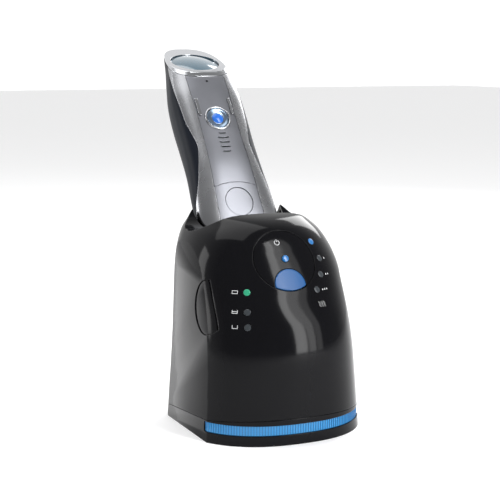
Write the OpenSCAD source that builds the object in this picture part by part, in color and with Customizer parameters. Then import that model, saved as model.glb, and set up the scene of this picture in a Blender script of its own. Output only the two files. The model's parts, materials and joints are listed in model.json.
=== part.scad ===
// Foil shaver standing head-down in its cleaning and charging station.
// Origin: centre of the underside of the station's base. +Z up, the front faces -Y. Millimetres.

/* [Station] */
// Width of the station across its flat cheeks at the foot
station_w = 128; // [120:1:136]
// Height of the parting line between base and housing at the front
base_h = 19.5; // [18:0.5:21]
// Lean of the flat cheeks towards the middle, in degrees
cheek_lean = 3; // [2.5:0.25:3.5]
// Wall of the housing
wall = 2.4; // [2.2:0.1:3]
// Radius of the round control dial
dial_r = 24.5; // [23:0.5:26]

/* [Shaver] */
// Lean of the shaver's axis towards the back, in degrees
shaver_lean = 36; // [35:0.5:37]
// Width of the shaver's foil head
head_w = 56; // [52:1:58]
// Radius of the round power button
button_r = 9.4; // [9:0.1:10]
// Tilt of the slanted end face against the shaver's axis, in degrees
end_tilt = 57; // [52:1:60]

/* [Hidden] */

facets = 72;            // points round the station's outline
shaver_facets = 48;     // points round the shaver's outline
gap = 0.35;             // clearance between pieces that part or move
station_power = 2.35;   // exponent of the station's plan: 2 is an ellipse, more is squarer
shaver_power = 2.6;

// Station outline by height: height, reach to the front, reach to the back, half width, widest at y.
station_rows = [
    [0, 75, 70, 72.6, -3], [60, 75.4, 70, 67.2, -1], [88, 70.5, 70, 64.8, 3], [111, 57.5, 69.5, 63.2, 6],
    [125, 49.5, 68.5, 61.8, 9], [138, 41.5, 67, 58.5, 16], [150, 33, 65, 52.5, 25],
    [158, 23.5, 63.5, 45, 32], [163, 10, 61.5, 41, 35], [167, -18, 58, 35, 38]];
station_levels = [0, 30, 60, 74, 88, 97, 106, 115, 124, 133, 141, 148, 154, 158, 161, 163.5, 165.5, 167];
saddle = [20, 181, 31];         // hollow across the top, in front of the rim: y, z and radius

// Shaver outline by distance from the rim: distance, half width, reach to the front, reach to the back.
shaver_rows = [
    [-16, 30.5, 10, 10.5], [-6, 34.6, 12.2, 11.8], [12, 34.6, 14, 13], [40, 32.2, 16, 18],
    [66, 31.3, 15.6, 24.5], [92, 31.6, 15, 27.5], [112, 31, 14.4, 27], [128, 29, 13.2, 24.5],
    [146, 26, 12, 22], [166, 23, 9.5, 19.5], [184, 17, 5, 14]];
shaver_levels = [
    -16, -11, -6, 0, 8, 16, 26, 36, 46, 58, 70, 82, 94, 104, 113, 121, 129, 137, 145, 153, 161, 169, 177, 184];

// Where the bright front shell meets the dark grip: distance from the rim, place front to back.
parting_rows = [
    [-20, 3], [0, -1.5], [10, -4.5], [22, -8], [38, -10.8], [60, -12.4], [85, -9.8], [105, -8.4], [124, -5.5],
    [146, -1], [184, 2]];

shaver_foot = [0, 47, 155];     // where the shaver's axis crosses the station's rim
dial_seat = [0, -43.6, 132.5];  // middle of the dial
dial_tilt = 61.3;               // the dial's face from the horizontal, in degrees
button_z = 85;                  // power button, from the rim along the axis
end_spot = [1.5, 150];          // middle of the end face: front to back, distance from the rim
seam_z = 24;                    // top of the arched seam between the two front panels
key_x = 14.4;                   // slim side keys, from the middle

// ---- curves -----------------------------------------------------------------------------
// Smooth curve through the rows of a table, column c, at height h.
function row_at(rows, h) = max([for (i = [0:len(rows) - 2]) rows[i][0] <= h ? i : 0]);
function rise(rows, i, j, c) = (rows[j][c] - rows[i][c]) / (rows[j][0] - rows[i][0]);
function slope_at(rows, i, c) = rise(rows, max(i - 1, 0), min(i + 1, len(rows) - 1), c);
function curve(rows, h, c) =
    let (i = row_at(rows, h), w = rows[i + 1][0] - rows[i][0], t = (h - rows[i][0]) / w)
    (2 * t ^ 3 - 3 * t ^ 2 + 1) * rows[i][c] + (t ^ 3 - 2 * t ^ 2 + t) * w * slope_at(rows, i, c)
    + (3 * t ^ 2 - 2 * t ^ 3) * rows[i + 1][c] + (t ^ 3 - t ^ 2) * w * slope_at(rows, i + 1, c);

// Closed ring of a superellipse whose front and back halves reach differently.
function ring(h, half, front, back, mid, power, count) = [
    for (i = [0:count - 1])
        let (a = 360 * i / count, c = cos(a), s = sin(a))
        [half * sign(c) * abs(c) ^ (2 / power),
         mid + (s < 0 ? front : back) * sign(s) * abs(s) ^ (2 / power), h]];

function station_at(h, c) = curve(station_rows, h, c);
function station_ring(h, inset) = ring(h, station_at(h, 3) - inset, station_at(h, 1) + station_at(h, 4) - inset,
    station_at(h, 2) - station_at(h, 4) - inset, station_at(h, 4), station_power, facets);
function shaver_ring(h, inset) = ring(h, curve(shaver_rows, h, 1) - inset, curve(shaver_rows, h, 2) - inset,
    curve(shaver_rows, h, 3) - inset, 0, shaver_power, shaver_facets);

// Solid skinned over a stack of equal rings.
module skin(rings) {
    n = len(rings[0]);
    m = len(rings);
    polyhedron(
        points = [for (r = rings) for (p = r) p],
        faces = concat(
            [[for (i = [0:n - 1]) i]],
            [for (k = [0:m - 2]) for (i = [0:n - 1])
                [k * n + i, (k + 1) * n + i, (k + 1) * n + (i + 1) % n, k * n + (i + 1) % n]],
            [[for (i = [n - 1:-1:0]) (m - 1) * n + i]]));
}

// ---- places and shared solids -----------------------------------------------------------
module as_mesh() resize([0, 0, 0]) children();  // keeps a skinned shape and its cuts in one mesh
module at_shaver() translate(shaver_foot) rotate([-shaver_lean, 0, 0]) children();
module at_dial() translate(dial_seat) rotate([dial_tilt, 0, 0]) children();
module at_end() translate([0, end_spot[0], end_spot[1]]) rotate([end_tilt, 0, 0]) children();
module bar_x(y, z, r, x0, length) translate([x0, y, z]) rotate([0, 90, 0]) cylinder(r = r, h = length, $fn = 32);
module peg_y(x, y, z, r, length) translate([x, y, z]) rotate([-90, 0, 0]) cylinder(r = r, h = length, $fn = 40);

module cheeks(inset) intersection_for(s = [-1, 1])
    translate([s * (station_w / 2 - inset), 0, 0]) rotate([0, -s * cheek_lean, 0])
        translate([s > 0 ? -200 : 0, -150, -20]) cube([200, 300, 260]);
module station_solid(inset) difference() {
    intersection() {
        skin([for (h = station_levels) if (h <= 167 - inset) station_ring(h, inset)]);
        cheeks(inset);
    }
    translate([-100, saddle[0], saddle[1]]) rotate([0, 90, 0])
        cylinder(r = saddle[2] + inset, h = 200, $fn = 120);
}
module foot_solid(inset) intersection() {
    skin([for (h = [0, 30]) station_ring(h, inset)]);
    cheeks(inset);
}
// The half above or below the sloping parting line between base and housing.
parting_slope = 5.1;
module parted(above) translate([0, -75, base_h + (above ? gap : 0)]) rotate([-parting_slope, 0, 0])
    translate([-100, -50, above ? 0 : -60]) cube([200, 260, above ? 220 : 60]);
// The opening at the top follows the shaver's axis.
module well() at_shaver() skin([for (h = [-58, 90]) ring(h, 38.6, 28, 17, 0, 2.5, 64)]);

module shaver_solid(inset) skin([for (h = shaver_levels) if (h >= -16 + inset && h <= 184 - inset)
    shaver_ring(h, inset)]);
module beyond_end(lift) at_end() translate([-60, -60, lift]) cube([120, 120, 90]);

// ---- base -------------------------------------------------------------------------------
strip_z = 7.8;          // underside of the light strip
strip_h = 7.6;
bay_half = 38.4;        // half width of the cartridge bay
post_spot = [50, 32];
pad_spots = [[-44, -44], [44, -44], [-42, 44], [42, 44]];
screw_spots = [[-30, -52], [30, -52], [-55, 6], [55, 6]];
inlet_x = -51;
module strip_zone(low, high, outer, deep) difference() {
    intersection() {
        translate([-90, -100, low]) cube([180, 62, high - low]);
        foot_solid(outer);
    }
    foot_solid(deep);
}
module base_plate() color("#0d0e10") as_mesh() difference() {
    intersection() {
        foot_solid(0);
        parted(false);
    }
    translate([-bay_half, -43, 4]) cube([2 * bay_half, 150, 40]);
    strip_zone(strip_z, strip_z + strip_h, -2, 3.6);
    translate([0, 0, 12]) foot_solid(5);
    for (p = pad_spots) translate([p[0], p[1], -1]) cylinder(r = 6, h = 2.2, $fn = 32);
    for (p = screw_spots) translate([p[0], p[1], -1]) cylinder(r = 3, h = 3.4, $fn = 24);
    for (x = [-1, 1]) translate([x * post_spot[0], post_spot[1], 3]) cylinder(r = 4, h = 30, $fn = 32);
    translate([inlet_x - 0.3, 41.7, 3]) cube([10.6, 40, 30]);
    translate([-30, -64, 2.4]) cube([60, 4, 30]);
}
module rubber_pads() color("#2a2a2c") for (p = pad_spots) translate([p[0], p[1], 0])
    cylinder(r = 5.8, h = 1.1, $fn = 32);
module base_screws() color("#a8a8a8") for (p = screw_spots) translate([p[0], p[1], 0.5]) difference() {
    cylinder(r = 2.7, h = 1.8, $fn = 24);
    translate([0, 0, -1]) cylinder(r = 1.4, h = 2, $fn = 6);
}
module light_strip() color("#3f8fd6", 0.9) as_mesh()
    strip_zone(strip_z + 0.2, strip_z + strip_h - 0.2, 0.6, 3.3);
module light_board() color("#1d6b3a") translate([-28, -63.2, 2.5]) {
    cube([56, 1.4, 8]);
    for (i = [0:5]) translate([5 + i * 8.4, -0.8, 3.2]) cube([2.4, 0.9, 2]);
}
module guide_posts() color("#c8ccd0") for (x = [-1, 1]) translate([x * post_spot[0], post_spot[1], 3.1])
    cylinder(r = 3.8, h = 62, $fn = 32);
module power_inlet() color("#1b1b1d") translate([inlet_x, 42, 3.1]) difference() {
    cube([10, 11, 13]);
    peg_y(5, 4, 6.5, 3.6, 20);
}

// ---- cartridge --------------------------------------------------------------------------
tub_half = 38;
module tub_block(inset, low, high) translate([0, 0, low]) linear_extrude(high - low)
    offset(r = 10 - inset) translate([10 - tub_half, -32.6]) square([2 * tub_half - 20, 86]);
module cartridge_tub() color("#d9dcdf") difference() {
    tub_block(0, 4.1, 50);
    tub_block(1.8, 6.2, 60);
}
module cartridge_lid() color("#2b6cb0") difference() {
    union() {
        tub_block(0, 50, 52.4);
        tub_block(2.1, 47, 50.1);
    }
    tub_block(4, 40, 50);
    translate([0, drain_y, 40]) cylinder(r = 8, h = 30, $fn = 40);
    translate([pump_spot[0], pump_spot[1], 40]) cylinder(r = 4.4, h = 30, $fn = 32);
}
module cartridge_filter() color("#e8e4d8") translate([0, drain_y, 46]) difference() {
    cylinder(r = 14, h = 4, $fn = 48);
    translate([0, 0, 2]) cylinder(r = 11, h = 3, $fn = 48);
}
module cleaning_fluid() color("#7cb8e8", 0.6) tub_block(1.9, 6.3, 40);

// ---- housing ----------------------------------------------------------------------------
// Height above the table and place across of every small lens in the front.
level_spots = [[-34, 112], [-36.5, 98.5], [-38, 88]];
program_spots = [[27, 144], [30.7, 132], [28, 121], [21, 111]];
function front_y(x, h) = station_at(h, 4) - (station_at(h, 1) + station_at(h, 4))
    * (1 - (abs(x) / station_at(h, 3)) ^ station_power) ^ (1 / station_power);
module on_front(spot) translate([spot[0], front_y(spot[0], spot[1]), spot[1]])
    rotate([0, 0, atan((front_y(spot[0] + 1, spot[1]) - front_y(spot[0] - 1, spot[1])) / 2)])
        rotate([90 - atan((front_y(spot[0], spot[1] + 2) - front_y(spot[0], spot[1] - 2)) / 4), 0, 0]) children();
module lens_hole() translate([0, 0, -6]) cylinder(r = 2.7, h = 12, $fn = 24);
module lens() translate([0, 0, -3.2]) cylinder(r = 2.5, h = 3.5, $fn = 24);

// Finger recess wrapped round each front corner.
module grip_prism(grow) for (s = [0, 1]) mirror([s, 0, 0])
    translate([-90, -30, 99]) rotate([0, 90, 0]) cylinder(r = 20.5 + grow, h = 36 + grow, $fn = 48);
module lift_hole(grow) peg_y(0, 50, 112, 9 + grow, 30);

module housing_shell() color("#101214") as_mesh() difference() {
    intersection() {
        station_solid(0);
        parted(true);
    }
    station_solid(wall);
    well();
    difference() {
        grip_prism(0);
        station_solid(1.5);
    }
    at_dial() translate([0, 0, -9]) cylinder(r = dial_r + 0.5, h = 30, $fn = 64);
    for (s = concat(level_spots, program_spots)) on_front(s) lens_hole();
    translate([-bay_half, 20, 0]) cube([2 * bay_half, 80, 56]);
    lift_hole(gap);
    translate([inlet_x - 1, 30, -5]) cube([14, 50, 23]);
}
module side_grips() color("#2b2e32") as_mesh() difference() {
    intersection() {
        station_solid(0.7);
        grip_prism(-0.3);
    }
    station_solid(1.45);
}
deck_z = 56.6;
module inner_deck() color("#2e3237") difference() {
    union() {
        translate([0, 0, deck_z]) linear_extrude(2.4) intersection() {
            polygon([for (p = station_ring(60, wall + 0.6)) [p[0], p[1]]]);
            square([2 * (station_w / 2 - 6.6), 200], center = true);
        }
        for (x = [-24, 24]) translate([x, drain_y, deck_z + 1]) cylinder(r = 3.4, h = 72, $fn = 32);
        for (x = [-11.5, 8.5]) translate([x, 50, deck_z + 1]) cube([3, 3.6, 74]);
        translate([-18, -38, deck_z + 1]) cube([36, 4, 46]);
    }
    bowl_block(2.6, -50.4, 10);
    at_shaver() translate([-20, 10, -17.4]) cube([40, 30, 40]);
    at_dial() translate([-30, -40, -18.2]) cube([60, 80, 30]);
    translate([0, drain_y, 50]) cylinder(r = 5.6, h = 14, $fn = 32);
    translate([pump_spot[0], pump_spot[1], 50]) cylinder(r = 4.3, h = 20, $fn = 32);
    translate([fan_spot[0], fan_spot[1], 50]) cylinder(r = 13.6, h = 20, $fn = 48);
    for (x = [-1, 1]) translate([x * post_spot[0], post_spot[1], 50]) cylinder(r = 6, h = 20, $fn = 32);
}
module dial_prism(grow) at_dial() translate([0, 0, -9]) cylinder(r = dial_r + grow, h = 30, $fn = 64);
module start_prism(grow) at_dial() translate([0, -19.5, -30]) cylinder(r = 12.4 + grow, h = 60, $fn = 48);
module dial_panel() color("#15171a") as_mesh() difference() {
    intersection() {
        station_solid(0.25);
        dial_prism(0);
    }
    station_solid(wall + 0.4);
    start_prism(0.45);
    at_dial() translate([0, 1, -20]) cylinder(r = 2.7, h = 40, $fn = 24);
}
module start_button() color("#2f6fb5") as_mesh() difference() {
    intersection() {
        station_solid(0.5);
        dial_prism(-0.5);
        start_prism(0);
    }
    station_solid(5);
}
module power_lens() color("#5aa9e6") at_dial() translate([0, 1, -3]) cylinder(r = 2.5, h = 5.4, $fn = 24);
module program_lenses() color("#3d7fb8") for (s = program_spots) on_front(s) lens();
module level_lens_full() color("#4fae7c") on_front(level_spots[0]) lens();
module level_lenses_low() color("#30343a") for (s = [level_spots[1], level_spots[2]]) on_front(s) lens();
module lift_button() color("#2c2f33") peg_y(0, 57, 112, 8.8, 13.6);
module guide_sleeves() color("#3a3d42") for (x = [-1, 1]) translate([x * post_spot[0], post_spot[1], 17.5])
    difference() {
        cylinder(r = 5.8, h = 54, $fn = 32);
        translate([0, 0, -1]) cylinder(r = 3.86, h = 56, $fn = 32);
    }

// ---- works inside the housing -----------------------------------------------------------
drain_y = shaver_foot[1] - 50 * sin(shaver_lean);
drain_z = shaver_foot[2] - 50 * cos(shaver_lean);
// Long round-ended cup, square to the shaver's axis.
module bowl_block(grow, low, high) at_shaver() translate([0, 0, low]) linear_extrude(high - low) {
    square([33, 39 + 2 * grow], center = true);
    for (x = [-16.5, 16.5]) translate([x, 0]) circle(r = 19.5 + grow, $fn = 64);
}
module cleaning_bowl() color("#3b3f45") difference() {
    union() {
        bowl_block(0, -50, -22);
        bowl_block(1.8, -24, -22);
    }
    bowl_block(-2, -47.8, -20);
    at_shaver() translate([0, 0, -52]) cylinder(r = 4, h = 10, $fn = 32);
}
module drain_tube() color("#b8bcc2") difference() {
    translate([0, drain_y, 54]) cylinder(r = 5, h = drain_z - 50, $fn = 32);
    translate([0, drain_y, 50]) cylinder(r = 3.4, h = drain_z - 54, $fn = 32);
    bowl_block(8, -50.1, -20);
}
pump_spot = [-24, -14];
module pump_housing() color("#e2e4e6") translate([pump_spot[0], pump_spot[1], 59.1]) difference() {
    union() {
        cylinder(r = 13, h = 13, $fn = 48);
        translate([0, 0, -5]) cylinder(r = 4, h = 6, $fn = 32);
        translate([8, -4, 3]) cube([10, 8, 7]);
    }
    translate([0, 0, 2]) cylinder(r = 10.5, h = 9, $fn = 48);
    translate([0, 0, -6]) cylinder(r = 2.4, h = 10, $fn = 24);
    translate([0, 0, 8]) cylinder(r = 1.55, h = 8, $fn = 24);
    translate([6, -2, 4.4]) cube([20, 4, 4]);
}
module pump_impeller() color("#f2f2f2") translate([pump_spot[0], pump_spot[1], 61.6]) {
    cylinder(r = 3, h = 7.6, $fn = 32);
    cylinder(r = 9.6, h = 1.2, $fn = 48);
    for (i = [0:5]) rotate([0, 0, 60 * i]) translate([2.4, -0.6, 0.6]) cube([7, 1.2, 6.4]);
    cylinder(r = 1.5, h = 13, $fn = 24);
}
module pump_motor() color("#9aa0a6") translate([pump_spot[0], pump_spot[1], 72.2]) difference() {
    cylinder(r = 11, h = 22, $fn = 48);
    translate([0, 0, -1]) cylinder(r = 1.55, h = 5, $fn = 24);
}
fan_spot = [31, -14, 59.1];
module fan_frame() color("#24272b") translate(fan_spot) difference() {
    translate([-15, -15, 0]) cube([30, 30, 9]);
    difference() {
        translate([0, 0, -1]) cylinder(r = 13.6, h = 20, $fn = 48);
        cylinder(r = 5, h = 1.6, $fn = 32);
        translate([-14, -1, 0]) cube([28, 2, 1.6]);
        translate([-1, -14, 0]) cube([2, 28, 1.6]);
        cylinder(r = 1.2, h = 5, $fn = 24);
    }
}
module fan_rotor() color("#3c4148") translate(fan_spot) difference() {
    union() {
        translate([0, 0, 1.8]) cylinder(r = 5, h = 6.4, $fn = 32);
        for (i = [0:6]) rotate([0, 0, 360 / 7 * i]) translate([4.4, 0, 2.6]) rotate([30, 0, 0])
            translate([0, -2.6, 1]) cube([8.2, 5.2, 0.9]);
    }
    cylinder(r = 1.24, h = 5.4, $fn = 24);
}
module control_board() color("#1f7a43") at_dial() translate([-17, -20, -18]) {
    cube([34, 40, 1.6]);
    translate([8, 14, 1.5]) cube([12, 12, 2]);
    translate([15, 0, 1.5]) cube([4, 4, 3]);
}
module contact_block() color("#222428") at_shaver() difference() {
    translate([-9, 13.4, -17.2]) cube([18, 6, 14]);
    for (x = [-4.5, 4.5]) peg_y(x, 12, -9, 1.5, 9);
}
module contact_pins() color("#d8b25a") at_shaver() for (x = [-4.5, 4.5]) peg_y(x, 12.9, -9, 1.42, 5.3);

// ---- shaver body ------------------------------------------------------------------------
module grip_zone(back) rotate([90, 0, 90]) translate([0, 0, -50]) linear_extrude(100) polygon(concat(
    [for (h = [-20:6:178]) [curve(parting_rows, h, 1) + back, h]], [[60, 190], [60, -20]]));
// The centre panel runs the length of the handle between two long seams.
module panel_prism(grow) rotate([90, 0, 0]) linear_extrude(60) polygon([
    for (s = [-1, 1]) for (p = s < 0 ? panel_side : [for (i = [len(panel_side) - 1:-1:0]) panel_side[i]])
        [s * (p[0] + grow), p[1]]]);
panel_side = [[19.5, -14], [18.4, 20], [16.8, 60], [16.4, 90], [17.2, 112], [16.8, 176]];
module below_seam(shift) rotate([90, 0, 0]) linear_extrude(60) intersection() {
    translate([-40, -40]) square([80, 80 + seam_z]);
    translate([0, seam_z - 60]) circle(r = 60 + shift, $fn = 96);
}
module panel_skin(inset, thick) difference() {
    shaver_solid(inset);
    shaver_solid(inset + thick);
    beyond_end(-0.2);
}
module front_shell() color("#b9bcc2") as_mesh() difference() {
    shaver_solid(0);
    shaver_solid(1.8);
    grip_zone(-0.1);
    beyond_end(0);
    panel_prism(0.25);
    neck_mouth();
}
// Mouth in the end of the neck for the head's pivot arms and the drive.
module neck_mouth() translate([-22, -7.4, -20]) cube([44, 15.6, 9.6]);
module rear_shell() color("#25292f") as_mesh() difference() {
    intersection() {
        shaver_solid(0);
        grip_zone(0.1);
    }
    shaver_solid(2);
    beyond_end(0);
    panel_prism(0.25);
    neck_mouth();
    translate([-14.4, 8, -20]) cube([28.8, 20, 48]);
}
module front_panel() color("#a3a7ae") as_mesh() difference() {
    intersection() {
        panel_skin(0.2, 1.5);
        panel_prism(0);
    }
    below_seam(0.2);
    translate([0, 0, button_z]) rotate([90, 0, 0]) cylinder(r = button_r + 1.9, h = 40, $fn = 48);
    for (i = [0:4]) finger_rib(i);
    for (s = [0, 1]) mirror([s, 0, 0]) key_prism(0.2);
    translate([0, 0, 123]) rotate([90, 0, 0]) cylinder(r = 1.1, h = 40, $fn = 24);
}
// Ribs under the button, each an arc that follows its rim.
module finger_rib(i) translate([0, -13.6, button_z]) rotate([90, 0, 0]) linear_extrude(30) intersection() {
    difference() {
        circle(r = 15.4 + 4.4 * i, $fn = 72);
        circle(r = 14.2 + 4.4 * i, $fn = 72);
    }
    polygon([[0, 0], [-14 - 2.6 * i, -60], [14 + 2.6 * i, -60]]);
    translate([-5.4 + i * 0.5, -60]) square([10.8 - i, 60]);
}
module lower_panel() color("#9a9ea6") as_mesh() difference() {
    intersection() {
        panel_skin(0.3, 1.5);
        panel_prism(0);
        below_seam(-0.1);
    }
    lock_prism(0.3);
}
module lock_prism(grow) translate([0, 0, 7]) rotate([90, 0, 0]) linear_extrude(60)
    scale([1, 1.05]) circle(r = 11.5 + grow, $fn = 56);
module head_release() color("#8d9199") as_mesh() difference() {
    intersection() {
        shaver_solid(0.7);
        lock_prism(0);
        translate([-20, -60, -10]) cube([40, 60, 40]);
    }
    shaver_solid(2.6);
}
button_seat = -curve(shaver_rows, button_z, 2);      // surface under the power button
module button_bezel() color("#d6dade") translate([0, button_seat + 1.8, button_z]) rotate([90, 0, 0])
    rotate_extrude($fn = 64) polygon([[button_r + 0.3, 0], [button_r + 1.8, 0], [button_r + 1.8, 1.8],
        [button_r + 1.1, 2.6], [button_r + 0.3, 2.2]]);
module power_button() color("#3f8ae0") translate([0, button_seat + 1.9, button_z]) rotate([90, 0, 0])
    rotate_extrude($fn = 64) polygon([[0, -1.2], [3, -1.2], [3, 0], [button_r, 0], [button_r, 1.9],
        [5, 1], [4.6, 1.8], [2.6, 2.6], [0, 2.9]]);
module key_prism(grow) translate([0, 0, 97]) rotate([90, 0, 0]) linear_extrude(60)
    hull() for (s = [-1, 1]) translate([key_x, s * 7]) circle(r = 1.25 + grow, $fn = 24);
module side_key(s) color("#e8eaec") as_mesh() difference() {
    intersection() {
        shaver_solid(-0.5);
        mirror([s, 0, 0]) key_prism(-0.1);
        translate([-40, -60, 80]) cube([80, 60, 60]);
    }
    shaver_solid(2.8);
}
module end_ring() color("#dfe2e5") as_mesh() difference() {
    intersection() {
        shaver_solid(0.3);
        at_end() translate([-60, -60, 0.1]) cube([120, 120, 2.4]);
    }
    end_prism(0.3, -1, 8);
}
module end_prism(grow, low, high) at_end() translate([0, 0, low]) linear_extrude(high - low)
    scale([1, 0.84]) circle(r = 21 + grow, $fn = 64);
module end_lens() color("#7fa6bd", 0.85) as_mesh() intersection() {
    end_prism(0, -2.2, 8);
    at_end() translate([0, 0, -55.6]) sphere(r = 60, $fn = 96);
}
module inner_chassis() color("#4a4e54") difference() {
    translate([-19, -9, 0]) cube([38, 18, 112]);
    translate([-17, -12, 2]) cube([34, 19, 108]);
    translate([0, 0, -10]) cylinder(r = 4, h = 14, $fn = 32);
}
// Arms that carry the head's pivot.
module pivot_yoke() color("#6a6f76") for (s = [0, 1]) mirror([s, 0, 0]) {
    translate([12, -3.4, -18.7]) cube([3.1, 6.8, 18.6]);
    bar_x(0, pivot_z, 1.5, 13, 5.4);
}
module battery_cell() color("#3f9b57") translate([0, -0.2, 44]) {
    cylinder(r = 7.1, h = 49, $fn = 48);
    translate([0, 0, 48.9]) cylinder(r = 2.6, h = 1.2, $fn = 24);
}
module drive_motor() color("#b5b9be") {
    translate([-13, -8.4, 5]) cube([26, 15.3, 30]);
    translate([0, 0, -17]) cylinder(r = 2.2, h = 24, $fn = 32);
}
module shaver_board() color("#1f7a43") translate([-13, -9.4, 40]) {
    cube([26, 1.5, 66]);
    translate([4, -1.1, 8]) cube([8, 1.2, 8]);
    translate([10, -1.3, 41]) cube([6, 1.4, 6]);
}
module charge_contacts() color("#d8b25a") for (x = [-4.5, 4.5]) peg_y(x, 6, -9, 1.5, 4.9);
module beard_trimmer() color("#aeb2b8") as_mesh() union() {
    difference() {
        intersection() {
            shaver_solid(0.3);
            translate([-14, 9.3, -14]) cube([28, 20, 41.6]);
        }
        shaver_solid(3.2);
        for (x = [-4.5, 4.5]) hull() for (z = [-9, -5.8]) peg_y(x, 5, z, 1.8, 12);
    }
    for (i = [0:13]) translate([-13.6 + 2 * i, 7.6, -14.4]) cube([1.2, 1.3, 3.6]);
    translate([-14, 7.4, -12.6]) cube([28, 2.6, 1.6]);
}

// ---- foil head --------------------------------------------------------------------------
module head_block(w, d, low, high, r) translate([0, 0, low]) linear_extrude(high - low)
    offset(r = r) square([w - 2 * r, d - 2 * r], center = true);
slot_w = head_w - 8;
pivot_z = -17;
module head_cradle() color("#3a3e44") difference() {
    union() {
        head_block(head_w, 24, -28, -20, 8);
        for (x = [-18.4, 15.4]) translate([x, -3.4, -20.1]) cube([3, 6.8, 5.6]);
    }
    head_block(head_w - 4, 20, -30, -22, 6.4);
    translate([0, 0, -40]) cylinder(r = 4.6, h = 40, $fn = 32);
    bar_x(0, pivot_z, 1.55, -30, 60);
}
module foil_frame() color("#c9ccd1") difference() {
    head_block(head_w + 1.2, 25.2, -35, -28.2, 8.4);
    for (y = [-7.1, 7.1]) translate([-slot_w / 2, y - 3.85, -40]) cube([slot_w, 7.7, 20]);
    translate([-slot_w / 2, -2.4, -40]) cube([slot_w, 4.8, 20]);
    link_gap();
}
// Room for the link between the two cutter rows.
module link_gap() translate([-4, -6, -30.4]) cube([8, 12, 3]);
module foil_screens() color("#e3e5e8") for (y = [-7.1, 7.1]) difference() {
    bar_x(y, -34, 3.8, -slot_w / 2, slot_w);
    bar_x(y, -34, 3.5, -40, 80);
    translate([-40, y - 10, -34]) cube([80, 20, 20]);
}
module centre_trimmer() color("#d4b46a") difference() {
    translate([-slot_w / 2 + 0.2, -2.2, -37]) cube([slot_w - 0.4, 4.4, 8.6]);
    for (i = [0:11]) translate([-slot_w / 2 + 2 + i * 3.8, -4, -38]) cube([1.3, 8, 2.4]);
    link_gap();
}
module cutter_block() color("#b9bdc2") {
    for (y = [-7.1, 7.1]) {
        for (i = [0:9]) difference() {
            bar_x(y, -34, 3.2, -20 + i * 4.4, 0.8);
            translate([-40, y - 10, -33.6]) cube([80, 20, 20]);
        }
        translate([-20.4, y - 1.2, -34.6]) cube([41.2, 2.4, 6]);
    }
    translate([-2.6, -8.3, -30]) cube([5.2, 16.6, 1.6]);
}

// ---- the one list of what is drawn -----------------------------------------------------
base_plate();
rubber_pads();
light_strip();
light_board();
guide_posts();
power_inlet();
base_screws();
cartridge_tub();
cartridge_lid();
cartridge_filter();
cleaning_fluid();
housing_shell();
inner_deck();
dial_panel();
power_lens();
program_lenses();
level_lens_full();
level_lenses_low();
side_grips();
guide_sleeves();
cleaning_bowl();
drain_tube();
pump_housing();
pump_motor();
fan_frame();
control_board();
contact_block();
contact_pins();
start_button();
lift_button();
pump_impeller();
fan_rotor();
at_shaver() front_shell();
at_shaver() rear_shell();
at_shaver() front_panel();
at_shaver() lower_panel();
at_shaver() button_bezel();
at_shaver() end_ring();
at_shaver() end_lens();
at_shaver() inner_chassis();
at_shaver() pivot_yoke();
at_shaver() battery_cell();
at_shaver() drive_motor();
at_shaver() shaver_board();
at_shaver() charge_contacts();
at_shaver() power_button();
at_shaver() side_key(1);  // side_key_left
at_shaver() side_key(0);  // side_key_right
at_shaver() head_release();
at_shaver() beard_trimmer();
at_shaver() head_cradle();
at_shaver() foil_frame();
at_shaver() foil_screens();
at_shaver() centre_trimmer();
at_shaver() cutter_block();
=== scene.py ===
import json
import math
import bmesh
import bpy
import numpy as np
from mathutils import Matrix, Vector


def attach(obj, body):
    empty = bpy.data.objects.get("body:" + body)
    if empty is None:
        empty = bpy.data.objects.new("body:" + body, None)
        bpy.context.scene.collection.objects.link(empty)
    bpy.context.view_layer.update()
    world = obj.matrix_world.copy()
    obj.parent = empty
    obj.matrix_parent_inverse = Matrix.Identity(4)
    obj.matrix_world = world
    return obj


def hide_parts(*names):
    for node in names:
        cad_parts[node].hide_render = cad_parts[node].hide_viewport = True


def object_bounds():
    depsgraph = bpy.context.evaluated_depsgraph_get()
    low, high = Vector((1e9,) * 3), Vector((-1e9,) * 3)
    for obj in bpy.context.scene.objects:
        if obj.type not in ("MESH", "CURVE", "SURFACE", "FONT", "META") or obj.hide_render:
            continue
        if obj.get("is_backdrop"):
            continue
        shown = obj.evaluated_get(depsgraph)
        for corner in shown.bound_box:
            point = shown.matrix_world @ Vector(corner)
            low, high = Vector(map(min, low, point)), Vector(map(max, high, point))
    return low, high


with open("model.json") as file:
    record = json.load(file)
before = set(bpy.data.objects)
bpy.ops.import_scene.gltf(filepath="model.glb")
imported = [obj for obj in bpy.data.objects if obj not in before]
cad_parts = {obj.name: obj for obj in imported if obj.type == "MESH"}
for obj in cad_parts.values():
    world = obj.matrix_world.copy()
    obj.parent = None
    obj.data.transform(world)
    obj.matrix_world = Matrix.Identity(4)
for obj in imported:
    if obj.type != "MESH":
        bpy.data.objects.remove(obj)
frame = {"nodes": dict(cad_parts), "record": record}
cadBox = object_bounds()
mm = 0.001

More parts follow.
